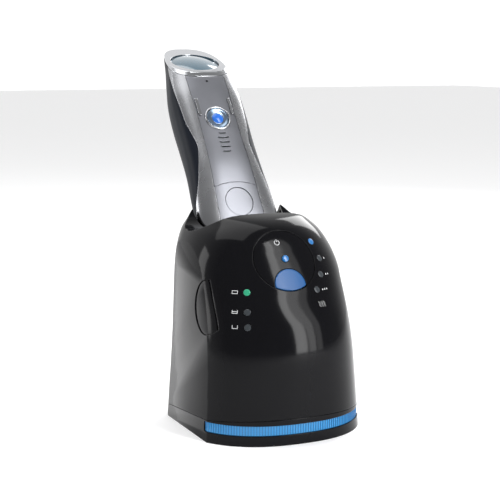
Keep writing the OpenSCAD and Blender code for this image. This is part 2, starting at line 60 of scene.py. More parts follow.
# ---- the shared shape: outlines by height, the same rows as the part's source ----
station = {
    "rows": [
        [0, 75, 70, 72.6, -3], [60, 75.4, 70, 67.2, -1], [88, 70.5, 70, 64.8, 3],
        [111, 57.5, 69.5, 63.2, 6], [125, 49.5, 68.5, 61.8, 9], [138, 41.5, 67, 58.5, 16],
        [150, 33, 65, 52.5, 25], [158, 23.5, 63.5, 45, 32], [163, 10, 61.5, 41, 35],
        [167, -18, 58, 35, 38]],
    "power": 2.35, "width": 128, "cheekLean": 3, "wall": 2.4, "baseTop": 19.5, "partingSlope": 5.1,
    "gap": 0.35, "saddle": (20, 181, 31), "around": 288, "levelStep": 1.5}
shaver = {
    "rows": [
        [-16, 30.5, 10, 10.5], [-6, 34.6, 12.2, 11.8], [12, 34.6, 14, 13], [40, 32.2, 16, 18],
        [66, 31.3, 15.6, 24.5], [92, 31.6, 15, 27.5], [112, 31, 14.4, 27], [128, 29, 13.2, 24.5],
        [146, 26, 12, 22], [166, 23, 9.5, 19.5], [184, 17, 5, 14]],
    "parting": [
        [-20, 3], [0, -1.5], [10, -4.5], [22, -8], [38, -10.8], [60, -12.4], [85, -9.8],
        [105, -8.4], [124, -5.5], [146, -1], [184, 2]],
    "panelSide": [[19.5, -14], [18.4, 20], [16.8, 60], [16.4, 90], [17.2, 112], [16.8, 176]],
    "power": 2.6, "around": 224, "levelStep": 2.0, "foot": (0, 47, 155), "lean": 36,
    "buttonZ": 85, "buttonR": 9.4, "endSpot": (1.5, 150), "endTilt": 57, "seamZ": 24, "keyX": 14.4}
dial = {"seat": (0, -43.6, 132.5), "tilt": 61.3, "radius": 24.5}


def turnX(degrees):
    return Matrix.Rotation(math.radians(degrees), 4, "X")


atShaver = Matrix.Translation(shaver["foot"]) @ turnX(-shaver["lean"])
atDial = Matrix.Translation(dial["seat"]) @ turnX(dial["tilt"])
atEnd = Matrix.Translation((0, *shaver["endSpot"])) @ turnX(shaver["endTilt"])
outFront = turnX(90)  # a flat outline in x and z, drawn towards the front
nowhere = Matrix.Identity(4)


def curveAt(rows, h, c):
    i = max(k for k in range(len(rows) - 1) if rows[k][0] <= h or k == 0)

    def slope(j):
        a, b = max(j - 1, 0), min(j + 1, len(rows) - 1)
        return (rows[b][c] - rows[a][c]) / (rows[b][0] - rows[a][0])
    w = rows[i + 1][0] - rows[i][0]
    t = (h - rows[i][0]) / w
    return ((2 * t**3 - 3 * t**2 + 1) * rows[i][c] + (t**3 - 2 * t**2 + t) * w * slope(i)
            + (3 * t**2 - 2 * t**3) * rows[i + 1][c] + (t**3 - t**2) * w * slope(i + 1))


def ringAt(h, half, front, back, mid, power, count):
    a = 2 * math.pi * np.arange(count) / count
    c, s = np.cos(a), np.sin(a)
    c[np.abs(c) < 1e-12] = 0
    s[np.abs(s) < 1e-12] = 0
    x = half * np.sign(c) * np.abs(c) ** (2 / power)
    y = mid + np.where(s < 0, front, back) * np.sign(s) * np.abs(s) ** (2 / power)
    return np.stack([x, y, np.full(count, h)], 1)


def stationRing(h, inset):
    front, back, half, mid = (curveAt(station["rows"], h, c) for c in (1, 2, 3, 4))
    front = min(front, 75.6)
    return ringAt(h, half - inset, front + mid - inset, back - mid - inset, mid,
                  station["power"], station["around"])


def shaverRing(h, inset):
    half, front, back = (curveAt(shaver["rows"], h, c) for c in (1, 2, 3))
    return ringAt(h, half - inset, front - inset, back - inset, 0, shaver["power"], shaver["around"])


def frontOfStation(x, h):
    front, mid, half = (curveAt(station["rows"], h, c) for c in (1, 4, 3))
    p = station["power"]
    return mid - (front + mid) * (1 - (abs(x) / half) ** p) ** (1 / p)


# ---- making and cutting solids, in millimetres until a piece is finished ----
def solid(name, verts, faces, place=nowhere):
    mesh = bpy.data.meshes.new(name)
    mesh.from_pydata([place @ Vector(v) for v in verts], [], faces)
    obj = bpy.data.objects.new(name, mesh)
    bpy.context.scene.collection.objects.link(obj)
    return obj


def skinned(name, rings, place=nowhere):
    n, m = len(rings[0]), len(rings)
    faces = [tuple(range(n - 1, -1, -1)), tuple((m - 1) * n + i for i in range(n))]
    faces += [(k * n + i, k * n + (i + 1) % n, (k + 1) * n + (i + 1) % n, (k + 1) * n + i)
              for k in range(m - 1) for i in range(n)]
    return solid(name, [tuple(p) for r in rings for p in r], faces, place)


def prism(outline, low, high, place=nowhere):
    turnArea = sum(a[0] * b[1] - b[0] * a[1] for a, b in zip(outline, outline[1:] + outline[:1]))
    if turnArea < 0:
        outline = outline[::-1]
    return skinned("tool", [[(x, y, z) for x, y in outline] for z in (low, high)], place)


def circle(r, cx=0, cy=0, count=128, squashY=1.0):
    angles = [2 * math.pi * i / count for i in range(count)]
    return [(cx + r * math.cos(q), cy + squashY * r * math.sin(q)) for q in angles]


def block(low, high, place=nowhere):
    return prism([(low[0], low[1]), (high[0], low[1]), (high[0], high[1]), (low[0], high[1])],
                 low[2], high[2], place)


def lathe(name, profile, place, count=96):
    # profile: closed list of radius and height, run anticlockwise, off the axis
    n = len(profile)
    angles = [2 * math.pi * k / count for k in range(count)]
    verts = [(r * math.cos(q), r * math.sin(q), z) for q in angles for r, z in profile]
    starts = [(k * n, ((k + 1) % count) * n) for k in range(count)]
    faces = [(a + i, b + i, b + (i + 1) % n, a + (i + 1) % n) for a, b in starts for i in range(n)]
    return solid(name, verts, faces, place)


def carve(obj, *steps):
    # steps: pairs of "cut", "keep" or "add" and the solid to do it with
    for kind, tool in steps:
        m = obj.modifiers.new(kind, "BOOLEAN")
        m.operation = {"cut": "DIFFERENCE", "keep": "INTERSECT", "add": "UNION"}[kind]
        m.solver = "MANIFOLD"
        m.object = tool
    bpy.context.view_layer.update()
    graph = bpy.context.evaluated_depsgraph_get()
    mesh = bpy.data.meshes.new_from_object(obj.evaluated_get(graph))
    obj.modifiers.clear()
    obj.data = mesh
    for tool in {t for k, t in steps}:
        bpy.data.objects.remove(tool)
    return obj


def finished(obj, name, body, nodes, slot, sharp=32, place=nowhere):
    # to metres, soft shading with crisp edges, and onto its body
    mesh = obj.data
    mesh.transform(Matrix.Scale(mm, 4) @ place)
    cleaned(mesh)
    mesh.polygons.foreach_set("use_smooth", [True] * len(mesh.polygons))
    mesh.set_sharp_from_angle(angle=math.radians(sharp))
    obj.name = mesh.name = name
    mesh.materials.clear()
    mesh.materials.append(finishes[slot])
    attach(obj, body)
    if nodes:
        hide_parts(*nodes)
    return obj


def cleaned(mesh):
    bm = bmesh.new()
    bm.from_mesh(mesh)
    bmesh.ops.remove_doubles(bm, verts=bm.verts, dist=1e-7)
    bmesh.ops.dissolve_degenerate(bm, edges=bm.edges, dist=1e-7)
    bm.to_mesh(mesh)
    bm.free()


# ---- finishes ----
finishValues = {
    # colour, metallic, roughness, grain size (1/m), grain strength, edge softness (mm)
    "station_black": ((0.0035, 0.0035, 0.0045), 0.0, 0.09, 60, 0.003, 0.7),
    "pad_rubber": ((0.020, 0.020, 0.020), 0.0, 0.80, 900, 0.3, 0.3),
    "strip_blue": ((0.02, 0.15, 0.32), 0.0, 0.16, 400, 0.03, 0.3),
    "rib_blue": ((0.015, 0.10, 0.24), 0.0, 0.16, 400, 0.03, 0.2),
    "board_green": ((0.012, 0.16, 0.06), 0.0, 0.45, 700, 0.15, 0.2),
    "post_steel": ((0.60, 0.61, 0.63), 1.0, 0.22, 500, 0.05, 0.2),
    "inner_black": ((0.025, 0.026, 0.028), 0.0, 0.55, 700, 0.15, 0.3),
    "cartridge_white": ((0.46, 0.47, 0.48), 0.0, 0.42, 500, 0.08, 0.4),
    "cartridge_blue": ((0.03, 0.14, 0.42), 0.0, 0.35, 500, 0.08, 0.4),
    "filter_felt": ((0.80, 0.78, 0.72), 0.0, 0.95, 1400, 0.6, 0.2),
    "fluid_blue": ((0.10, 0.40, 0.70), 0.0, 0.05, 20, 0.02, 0.1),
    "lamp_blue": ((0.015, 0.11, 0.30), 0.0, 0.12, 300, 0.02, 0.3),
    "lamp_green": ((0.02, 0.22, 0.12), 0.0, 0.12, 300, 0.02, 0.3),
    "lamp_dark": ((0.035, 0.040, 0.045), 0.0, 0.15, 300, 0.02, 0.3),
    "start_blue": ((0.012, 0.075, 0.22), 0.0, 0.20, 200, 0.02, 1.2),
    "bowl_grey": ((0.06, 0.065, 0.07), 0.0, 0.45, 700, 0.1, 0.4),
    "tube_grey": ((0.45, 0.46, 0.48), 0.0, 0.40, 500, 0.1, 0.3),
    "pump_white": ((0.70, 0.71, 0.72), 0.0, 0.40, 500, 0.1, 0.4),
    "motor_steel": ((0.50, 0.51, 0.53), 1.0, 0.28, 900, 0.1, 0.3),
    "fan_grey": ((0.10, 0.105, 0.11), 0.0, 0.45, 600, 0.1, 0.3),
    "contact_gold": ((0.83, 0.60, 0.22), 1.0, 0.20, 500, 0.04, 0.2),
    "shell_silver": ((0.33, 0.335, 0.35), 1.0, 0.26, 1600, 0.03, 0.4),
    "panel_silver": ((0.20, 0.205, 0.225), 1.0, 0.36, 1600, 0.04, 0.5),
    "grip_rubber": ((0.004, 0.006, 0.011), 0.0, 0.42, 2600, 0.03, 0.4),
    "bright_chrome": ((0.50, 0.51, 0.53), 1.0, 0.12, 400, 0.01, 0.4),
    "end_glass": ((0.045, 0.10, 0.14), 0.0, 0.10, 80, 0.01, 0.6),
    "button_blue": ((0.015, 0.10, 0.42), 0.0, 0.14, 300, 0.02, 0.4),
    "dish_silver": ((0.24, 0.31, 0.40), 1.0, 0.20, 300, 0.01, 0.4),
    "chassis_grey": ((0.09, 0.095, 0.10), 0.0, 0.50, 700, 0.1, 0.3),
    "yoke_steel": ((0.35, 0.36, 0.38), 1.0, 0.30, 900, 0.06, 0.2),
    "cell_green": ((0.05, 0.36, 0.12), 0.0, 0.30, 200, 0.03, 0.4),
    "trimmer_steel": ((0.46, 0.47, 0.49), 1.0, 0.30, 1200, 0.06, 0.2),
    "frame_silver": ((0.56, 0.57, 0.60), 1.0, 0.25, 1200, 0.03, 0.4),
    "foil_steel": ((0.68, 0.69, 0.71), 1.0, 0.20, 1400, 0.05, 0.1),
    "comb_gold": ((0.72, 0.52, 0.22), 1.0, 0.22, 900, 0.04, 0.2),
    "print_white": ((0.62, 0.63, 0.64), 0.0, 0.45, 900, 0.05, 0.1)}
glows = {"strip_blue": ((0.02, 0.27, 0.62), 0.50), "rib_blue": ((0.02, 0.22, 0.52), 0.30),
         "lamp_green": ((0.05, 0.7, 0.35), 0.14),
         # the start key is no lamp: its faint start_blue glow is painted light that brightens its blue
         "lamp_blue": ((0.03, 0.26, 0.7), 0.16), "start_blue": ((0.02, 0.14, 0.45), 0.06),
         "button_blue": ((0.02, 0.16, 0.65), 0.30)}


def makeFinish(name, values):
    colour, metallic, roughness, grain, strength, soft = values
    mat = bpy.data.materials.new(name)
    mat.use_nodes = True
    nodes, links = mat.node_tree.nodes, mat.node_tree.links
    shader = nodes["Principled BSDF"]
    shader.inputs["Metallic"].default_value = metallic
    place = nodes.new("ShaderNodeTexCoord")
    fine = nodes.new("ShaderNodeTexNoise")
    fine.inputs["Scale"].default_value = grain
    fine.inputs["Detail"].default_value = 3
    broad = nodes.new("ShaderNodeTexNoise")
    broad.inputs["Scale"].default_value = 45
    broad.inputs["Detail"].default_value = 4
    for texture in (fine, broad):
        links.new(place.outputs["Object"], texture.inputs["Vector"])
    tone = nodes.new("ShaderNodeMapRange")  # handling marks vary the gloss a little
    tone.inputs["To Min"].default_value = roughness * 0.85
    tone.inputs["To Max"].default_value = roughness * 1.2 + 0.01
    links.new(broad.outputs["Fac"], tone.inputs["Value"])
    links.new(tone.outputs["Result"], shader.inputs["Roughness"])
    shade = nodes.new("ShaderNodeMix")
    shade.data_type = "RGBA"
    shade.inputs["A"].default_value = (*(c * 0.92 for c in colour), 1)
    shade.inputs["B"].default_value = (*(min(1, c * 1.08) for c in colour), 1)
    links.new(broad.outputs["Fac"], shade.inputs["Factor"])
    links.new(shade.outputs["Result"], shader.inputs["Base Color"])
    edge = nodes.new("ShaderNodeBevel")  # rounds the moulded edges
    edge.samples = 6
    edge.inputs["Radius"].default_value = soft * mm
    bump = nodes.new("ShaderNodeBump")
    bump.inputs["Strength"].default_value = strength
    bump.inputs["Distance"].default_value = 0.0002
    links.new(fine.outputs["Fac"], bump.inputs["Height"])
    links.new(edge.outputs["Normal"], bump.inputs["Normal"])
    links.new(bump.outputs["Normal"], shader.inputs["Normal"])
    if name in glows:
        light, power = glows[name]
        shader.inputs["Emission Color"].default_value = (*light, 1)
        shader.inputs["Emission Strength"].default_value = power
    return mat


finishes = {name: makeFinish(name, values) for name, values in finishValues.items()}
softer = {"station_black": 0.13, "grip_rubber": 0.14, "start_blue": 0.2, "lamp_dark": 0.3}
for name, level in softer.items():
    finishes[name].node_tree.nodes["Principled BSDF"].inputs["Specular IOR Level"].default_value = level
finishes["end_glass"].node_tree.nodes["Principled BSDF"].inputs["Coat Weight"].default_value = 1.0
print("finishes made:", len(finishes))

# every piece of the frame takes its slot's finish; the seen ones are remade below
slotOf = {}
for entry in frame["record"]["subparts"]:
    slotOf[entry["node"]] = entry["material_slot"]
    cad = frame["nodes"][entry["node"]]
    cad.data.materials.clear()
    cad.data.materials.append(finishes[entry["material_slot"]])


# ---- station ----
def levels(step, low, high):
    count = max(2, int(round((high - low) / step)) + 1)
    return [low + (high - low) * i / (count - 1) for i in range(count)]


def cheekCut(obj, inset):
    # the two flat sides lean in as they rise
    reach = station["width"] / 2 - inset
    lean = math.tan(math.radians(station["cheekLean"]))
    low, top = -20, 200
    outline = [(-reach + lean * low, low), (reach - lean * low, low),
               (reach - lean * top, top), (-reach + lean * top, top)]
    return carve(obj, ("keep", prism(outline, -150, 150, turnX(90))))


def stationSolid(inset, top=167):
    high = min(top, 167 - inset)
    hs = levels(station["levelStep"], 0, high)
    obj = cheekCut(skinned("tool", [stationRing(h, inset) for h in hs]), inset)
    y, z, r = station["saddle"]
    if top > 140:
        obj = carve(obj, ("cut", alongX(y, z, r + inset, -100, 100, 240)))
    return obj


def partedBlock(above):
    height = station["baseTop"] + (station["gap"] if above else 0)
    place = Matrix.Translation((0, -75, height)) @ turnX(-station["partingSlope"])
    return block((-100, -50, 0 if above else -60), (100, 210, 220 if above else 0), place)


def footSolid(inset):
    return cheekCut(skinned("tool", [stationRing(h, inset) for h in levels(3, 0, 30)]), inset)


def alongX(y, z, r, x0, x1, count=96):
    return prism(circle(r, 0, 0, count), x0, x1,
                 Matrix.Translation((0, y, z)) @ Matrix.Rotation(math.radians(90), 4, "Y"))


def alongY(x, z, r, y0, y1, count=64):
    return prism(circle(r, 0, 0, count), -y1, -y0, Matrix.Translation((x, 0, z)) @ turnX(90))


def onFront(spot):
    x, h = spot
    across = math.atan((frontOfStation(x + 1, h) - frontOfStation(x - 1, h)) / 2)
    tilt = math.radians(90) - math.atan((frontOfStation(x, h + 2) - frontOfStation(x, h - 2)) / 4)
    turned = Matrix.Rotation(across, 4, "Z") @ Matrix.Rotation(tilt, 4, "X")
    return Matrix.Translation((x, frontOfStation(x, h), h)) @ turned


lamps = {"level": [(-34, 112), (-36.5, 98.5), (-38, 88)],
         "program": [(27, 144), (30.7, 132), (28, 121), (21, 111)], "radius": 2.5, "proud": 0.3}
grips = {"y": -30, "z": 99, "radius": 20.5, "from": 54, "deep": 1.5}
bayHalf = 38.4


well = {"half": 38.6, "front": 28, "back": 17, "power": 2.5, "around": 128, "span": (-58, 90)}


def wellTool():
    rings = [ringAt(h, well["half"], well["front"], well["back"], 0, well["power"], well["around"])
             for h in well["span"]]
    return skinned("tool", rings, atShaver)


housing = stationSolid(0)
grooves = alongX(grips["y"], grips["z"], grips["radius"], -90, -grips["from"])
grooves2 = alongX(grips["y"], grips["z"], grips["radius"], grips["from"], 90)
grooves = carve(grooves, ("add", grooves2), ("cut", stationSolid(grips["deep"])))
steps = [("keep", partedBlock(True)), ("cut", stationSolid(station["wall"])), ("cut", wellTool()),
         ("cut", grooves), ("cut", prism(circle(dial["radius"] + 0.5), -9, 21, atDial))]
steps += [("cut", prism(circle(lamps["radius"] + 0.2, count=48), -6, 6, onFront(s)))
          for s in lamps["level"] + lamps["program"]]
# the cartridge's bay, the lift button and the inlet open through the back
steps += [("cut", block((-bayHalf, 20, 0), (bayHalf, 100, 56))), ("cut", alongY(0, 112, 9.35, 50, 80)),
          ("cut", block((-52, 30, -5), (-38, 80, 18)))]
housing = carve(housing, *steps)
finished(housing, "glossHousing", "housing", ["housing_shell"], "station_black")
print("housing:", len(housing.data.polygons), "faces")

panel = carve(stationSolid(0.25), ("keep", prism(circle(dial["radius"]), -9, 21, atDial)),
              ("cut", stationSolid(station["wall"] + 0.4)),
              ("cut", prism(circle(12.85, 0, -19.5), -30, 30, atDial)),
              ("cut", prism(circle(2.7, 0, 1, 48), -20, 20, atDial)))
finished(panel, "dialPanel", "housing", ["dial_panel"], "station_black")

startKey = carve(stationSolid(0.5), ("keep", prism(circle(dial["radius"] - 0.5), -9, 21, atDial)),
                 ("keep", prism(circle(12.4, 0, -19.5), -30, 30, atDial)), ("cut", stationSolid(5)))
finished(startKey, "startKey", "start_key", ["start_button"], "start_blue")
print("dial and start key made")


# scooped rubber-like pads in the side recesses
pads = alongX(grips["y"], grips["z"], grips["radius"] - 0.3, -90, -grips["from"] - 0.3)
pads2 = alongX(grips["y"], grips["z"], grips["radius"] - 0.3, grips["from"] + 0.3, 90)
pads = carve(pads, ("add", pads2), ("keep", stationSolid(0.7)), ("cut", stationSolid(1.45)))
finished(pads, "sideGrips", "housing", ["side_grips"], slotOf["side_grips"])


def lensSolid(places, name, node, slot, body="housing", radius=2.5, proud=0.3, low=-3.2):
    # domed lens: a short rod with a crowned face
    made = None
    for place in places:
        profile = [(0.02, low), (radius, low), (radius, proud - 0.35), (radius * 0.82, proud - 0.12),
                   (radius * 0.5, proud - 0.03), (0.02, proud)]
        one = lathe("tool", profile, place, 48)
        made = one if made is None else joinPair(made, one)
    return finished(made, name, body, [node], slot)


def joinPair(a, b):
    n = len(a.data.vertices)
    verts = [v.co.copy() for v in a.data.vertices] + [v.co.copy() for v in b.data.vertices]
    faces = [tuple(p.vertices) for p in a.data.polygons]
    faces += [tuple(i + n for i in p.vertices) for p in b.data.polygons]
    bpy.data.objects.remove(a)
    bpy.data.objects.remove(b)
    return solid("tool", verts, faces)


def joined(parts):
    made = parts[0]
    for part in parts[1:]:
        made = joinPair(made, part)
    return made


programLamps = lensSolid([onFront(s) for s in lamps["program"]], "programLamps", "program_lenses",
                         "lamp_blue")
programLamps.data.materials.append(finishes["lamp_dark"])  # only the first of the four is lit
for face in programLamps.data.polygons:
    face.material_index = 1 if face.center.z < 0.139 else 0
lensSolid([onFront(lamps["level"][0])], "fullLamp", "level_lens_full", "lamp_green")
lensSolid([onFront(s) for s in lamps["level"][1:]], "lowLamps", "level_lenses_low", "lamp_dark")
lensSolid([atDial @ Matrix.Translation((0, 1, 0))], "powerLamp", "power_lens", "lamp_blue",
          proud=2.4, low=-3)

# small white marks beside the lamps, let into the gloss
marks = {"thick": 0.2, "line": 0.42, "tray": (4.4, 2.6), "trayX": -7.6, "dropR": 0.5, "dropGap": 2.1,
         "dropSpots": ((35.6, 131.4), (33.2, 120.4), (26.4, 110.4)), "waveLine": 0.3, "waveZ": 101,
         "waveX": (20.4, 22.6, 24.8), "powerSpot": (-3.4, 14.6), "powerR": 1.75}


def bar(x0, y0, x1, y1, place):
    return block((min(x0, x1), min(y0, y1), -2), (max(x0, x1), max(y0, y1), 2), place)


def trayMark(spot, fill):
    place = onFront((spot[0] + marks["trayX"], spot[1]))
    (w, h), t = marks["tray"], marks["line"]
    parts = [bar(-w / 2, -h / 2, w / 2, -h / 2 + t, place),
             bar(-w / 2, -h / 2 + t + 0.01, -w / 2 + t, h / 2, place),
             bar(w / 2 - t, -h / 2 + t + 0.01, w / 2, h / 2, place)]
    if fill:
        level = -h / 2 + t + fill * (h - 2 * t)
        parts.append(bar(-w / 2 + t + 0.01, level, w / 2 - t - 0.01, level + t, place))
    return parts


def dropMark(x, z):
    r = marks["dropR"]
    line = [(r * math.cos(t), r * math.sin(t)) for t in np.radians(np.linspace(150, 390, 15))]
    return prism(line + [(0, 2.1 * r)], -2, 2, onFront((x, z)))


def arcBand(r, t, low, high, place, deep=2, count=33):
    angles = np.radians(np.linspace(low, high, count))
    line = [((r + t) * math.cos(q), (r + t) * math.sin(q)) for q in angles]
    line += [(r * math.cos(q), r * math.sin(q)) for q in angles[::-1]]
    return prism(line, -deep, deep, place)


def waveMark(x, z):
    t = marks["waveLine"]
    ys = np.linspace(-2.2, 2.2, 23)
    xs = 0.45 * np.sin(ys * 2.6)
    line = [(a + t / 2, b) for a, b in zip(xs, ys)]
    line += [(a - t / 2, b) for a, b in zip(xs[::-1], ys[::-1])]
    return prism(line, -2, 2, onFront((x, z)))


parts = [part for spot, fill in zip(lamps["level"], (1.0, 0.5, 0.0)) for part in trayMark(spot, fill)]
for (x, z), count in zip(marks["dropSpots"], (1, 2, 3)):
    parts += [dropMark(x + marks["dropGap"] * i, z) for i in range(count)]
parts += [waveMark(x, marks["waveZ"]) for x in marks["waveX"]]
prints = carve(joined(parts), ("keep", stationSolid(-0.02, 150)),
               ("cut", stationSolid(marks["thick"], 150)))
finished(prints, "whiteMarks", "housing", [], "print_white")
atMark = atDial @ Matrix.Translation((*marks["powerSpot"], 0))
parts = [arcBand(marks["powerR"], marks["line"], 120, 420, atMark, 4),
         bar(-marks["line"] / 2, 0.6, marks["line"] / 2, 2.7, atMark @ Matrix.Scale(2, 4, (0, 0, 1)))]
power = carve(joined(parts), ("keep", stationSolid(0.23)), ("cut", stationSolid(0.45)))
finished(power, "powerMark", "housing", [], "print_white")
print("marks made")

# base with its lit strip
strip = {"z": 7.8, "height": 7.6, "backTo": -38, "outer": 0.6, "inner": 3.3, "slotInner": 3.6,
         "ribs": 74,
         "padSpots": ((-44, -44), (44, -44), (-42, 44), (42, 44)),
         "screwSpots": ((-30, -52), (30, -52), (-55, 6), (55, 6)),
         "ribWidth": 0.5, "ribDepth": 0.55}
stripTop = strip["z"] + strip["height"]
base = carve(footSolid(0), ("keep", partedBlock(False)),
             ("cut", block((-bayHalf, -43, 4), (bayHalf, 107, 44))),
             ("cut", carve(block((-90, -100, strip["z"]), (90, strip["backTo"], stripTop)),
                           ("cut", footSolid(strip["slotInner"])))),
             ("cut", block((-51.3, 41.7, 3), (-40.7, 81.7, 33))),
             ("cut", block((-30, -64, 2.4), (30, -60, 32.4))))
postHoles = [prism(circle(4, x, 32, 64), 3, 33) for x in (-50, 50)]
padHoles = [prism(circle(6, x, y, 64), -1, 1.2) for x, y in strip["padSpots"]]
screwHoles = [prism(circle(3, x, y, 48), -1, 2.4) for x, y in strip["screwSpots"]]
innerFoot = carve(footSolid(5), ("cut", block((-100, -100, -5), (100, 100, 12))))
base = carve(base, ("cut", innerFoot), *[("cut", t) for t in postHoles + padHoles + screwHoles])
finished(base, "basePlate", "base", ["base_plate"], "station_black")

stripZone = block((-90, -100, strip["z"] + 0.2), (90, strip["backTo"], stripTop - 0.2))
lit = carve(footSolid(strip["outer"] + strip["ribDepth"]), ("keep", stripZone),
            ("cut", footSolid(strip["inner"])))
finished(lit, "lightStrip", "base", ["light_strip"], "strip_blue")
print("base made")


# ribs along the strip, placed by a geometry tree on the path of the foot
def pathOfFoot(inset, z, count):
    ring = stationRing(z, inset)[:, :2]
    reach = station["width"] / 2 - inset - z * math.tan(math.radians(station["cheekLean"]))
    ring[:, 0] = np.clip(ring[:, 0], -reach, reach)
    front = ring[len(ring) // 2:]
    front = front[front[:, 1] < strip["backTo"]]
    ends = [(front[0][0], strip["backTo"] - 0.4)], [(front[-1][0], strip["backTo"] - 0.4)]
    front = np.vstack([ends[0], front, ends[1]])
    step = np.r_[0, np.cumsum(np.hypot(*np.diff(front, axis=0).T))]
    s = (np.arange(count) + 0.5) / count * step[-1]
    return np.stack([np.interp(s, step, front[:, 0]), np.interp(s, step, front[:, 1])], 1)


def ribTree(material):
    tree = bpy.data.node_groups.new("ribsOnPath", "GeometryNodeTree")
    face = tree.interface
    face.new_socket("Geometry", in_out="INPUT", socket_type="NodeSocketGeometry")
    sizes = {n: face.new_socket(n, in_out="INPUT", socket_type="NodeSocketFloat").identifier
             for n in ("Rib Width", "Rib Depth", "Rib Height")}
    face.new_socket("Geometry", in_out="OUTPUT", socket_type="NodeSocketGeometry")
    nodes, links = tree.nodes, tree.links
    gin, gout = nodes.new("NodeGroupInput"), nodes.new("NodeGroupOutput")
    size = nodes.new("ShaderNodeCombineXYZ")
    for axis, n in zip("XYZ", sizes):
        links.new(gin.outputs[n], size.inputs[axis])
    box = nodes.new("GeometryNodeMeshCube")
    links.new(size.outputs[0], box.inputs["Size"])
    facing = nodes.new("GeometryNodeInputNamedAttribute")
    facing.data_type = "FLOAT_VECTOR"
    facing.inputs["Name"].default_value = "turn"
    put = nodes.new("GeometryNodeInstanceOnPoints")
    links.new(gin.outputs["Geometry"], put.inputs["Points"])
    links.new(box.outputs["Mesh"], put.inputs["Instance"])
    links.new(facing.outputs["Attribute"], put.inputs["Rotation"])
    real = nodes.new("GeometryNodeRealizeInstances")
    links.new(put.outputs["Instances"], real.inputs["Geometry"])
    coat = nodes.new("GeometryNodeSetMaterial")
    coat.inputs["Material"].default_value = material
    links.new(real.outputs["Geometry"], coat.inputs["Geometry"])
    links.new(coat.outputs["Geometry"], gout.inputs["Geometry"])
    return tree, sizes


def grown(obj, tree, values):
    m = obj.modifiers.new("ribs", "NODES")
    m.node_group = tree
    for socket, value in values.items():
        m[socket] = value
    bpy.context.view_layer.update()
    mesh = bpy.data.meshes.new_from_object(obj.evaluated_get(bpy.context.evaluated_depsgraph_get()))
    obj.modifiers.clear()
    obj.data = mesh
    return obj


spots = pathOfFoot(strip["outer"] + strip["ribDepth"] / 2, 11.6, strip["ribs"])
ribs = solid("tool", [(x, y, 11.6) for x, y in spots], [])
along = np.gradient(spots, axis=0)
turn = ribs.data.attributes.new("turn", "FLOAT_VECTOR", "POINT")
turn.data.foreach_set("vector", np.stack([0 * spots[:, 0], 0 * spots[:, 0],
                                          np.arctan2(along[:, 1], along[:, 0])], 1).astype("f").ravel())
tree, sizes = ribTree(finishes["rib_blue"])
grown(ribs, tree, {sizes["Rib Width"]: strip["ribWidth"], sizes["Rib Depth"]: strip["ribDepth"],
                   sizes["Rib Height"]: strip["height"] - 0.5})
finished(ribs, "stripRibs", "base", [], "rib_blue")
print("strip ribs:", strip["ribs"])


# ---- shaver, built upright at its own axis, then leaned ----
def shaverSolid(inset):
    hs = levels(shaver["levelStep"], -16 + max(inset, 0), 184 - max(inset, 0))
    return skinned("tool", [shaverRing(h, inset) for h in hs])


def frontPrism(outline, deep=60):
    return prism(outline, 0, deep, outFront)


def gripZone(back):
    line = [(curveAt(shaver["parting"], h, 1) + back, h) for h in np.arange(-20, 178.1, 3)]
    line += [(60, 190), (60, -20)]
    # the outline lies in y and z, and runs across in x
    across = Matrix(((0, 0, 1, 0), (1, 0, 0, 0), (0, 1, 0, 0), (0, 0, 0, 1)))
    return prism(line, -50, 50, across)


def beyondEnd(lift=0.0):
    return block((-60, -60, lift), (60, 60, lift + 90), atEnd)


def panelPrism(grow):
    side = shaver["panelSide"]
    outline = [(x + grow, z) for x, z in side] + [(-x - grow, z) for x, z in reversed(side)]
    return frontPrism(outline)


def neckMouth():
    return block((-22, -7.4, -20), (22, 8.2, -10.4))


def belowSeam(shift):
    r = 60 + shift
    half = math.degrees(math.asin(40 / r))
    arc = [(r * math.sin(math.radians(a)), shaver["seamZ"] - 60 + r * math.cos(math.radians(a)))
           for a in np.linspace(half, -half, 65)]
    return frontPrism([(-40, -40), (40, -40)] + arc)


def panelSkin(inset, thick):
    return carve(shaverSolid(inset), ("cut", shaverSolid(inset + thick)), ("cut", beyondEnd(-0.2)))


def keyPrism(side, grow):
    r = 1.25 + grow
    x = shaver["keyX"] * side
    arc = [(x + r * math.cos(t), 104 + r * math.sin(t)) for t in np.linspace(0, math.pi, 17)]
    arc += [(x + r * math.cos(t), 90 + r * math.sin(t)) for t in np.linspace(math.pi, 2 * math.pi, 17)]
    return frontPrism(arc)


def lockPrism(grow):
    return frontPrism(circle(11.5 + grow, 0, 7, 128, 1.05))


def fingerRib(i):
    # part of a ring about the button, cut off at both ends
    inner, outer = 14.2 + 4.4 * i, 15.4 + 4.4 * i
    half = min(5.4 - 0.5 * i, inner * math.sin(math.atan2(14 + 2.6 * i, 60)))
    a0 = math.asin(half / outer)
    angles, z = np.linspace(-a0, a0, 17), shaver["buttonZ"]
    down = [(outer * math.sin(q), z - outer * math.cos(q)) for q in angles]
    up = [(inner * math.sin(q), z - inner * math.cos(q)) for q in angles[::-1]]
    return prism(down + up, 13.6, 43.6, outFront)


walls = {"front": 1.8, "back": 2, "panel": 1.5}
frontShell = carve(shaverSolid(0), ("cut", shaverSolid(walls["front"])), ("cut", gripZone(-0.1)),
                   ("cut", beyondEnd()), ("cut", panelPrism(0.25)), ("cut", neckMouth()))
finished(frontShell, "frontShell", "shaver", ["front_shell"], "shell_silver", place=atShaver)

rearShell = carve(shaverSolid(0), ("keep", gripZone(0.1)), ("cut", shaverSolid(walls["back"])),
                  ("cut", beyondEnd()), ("cut", panelPrism(0.25)), ("cut", neckMouth()),
                  ("cut", block((-14.4, 8, -20), (14.4, 28, 28))))
finished(rearShell, "rubberBack", "shaver", ["rear_shell"], "grip_rubber", place=atShaver)

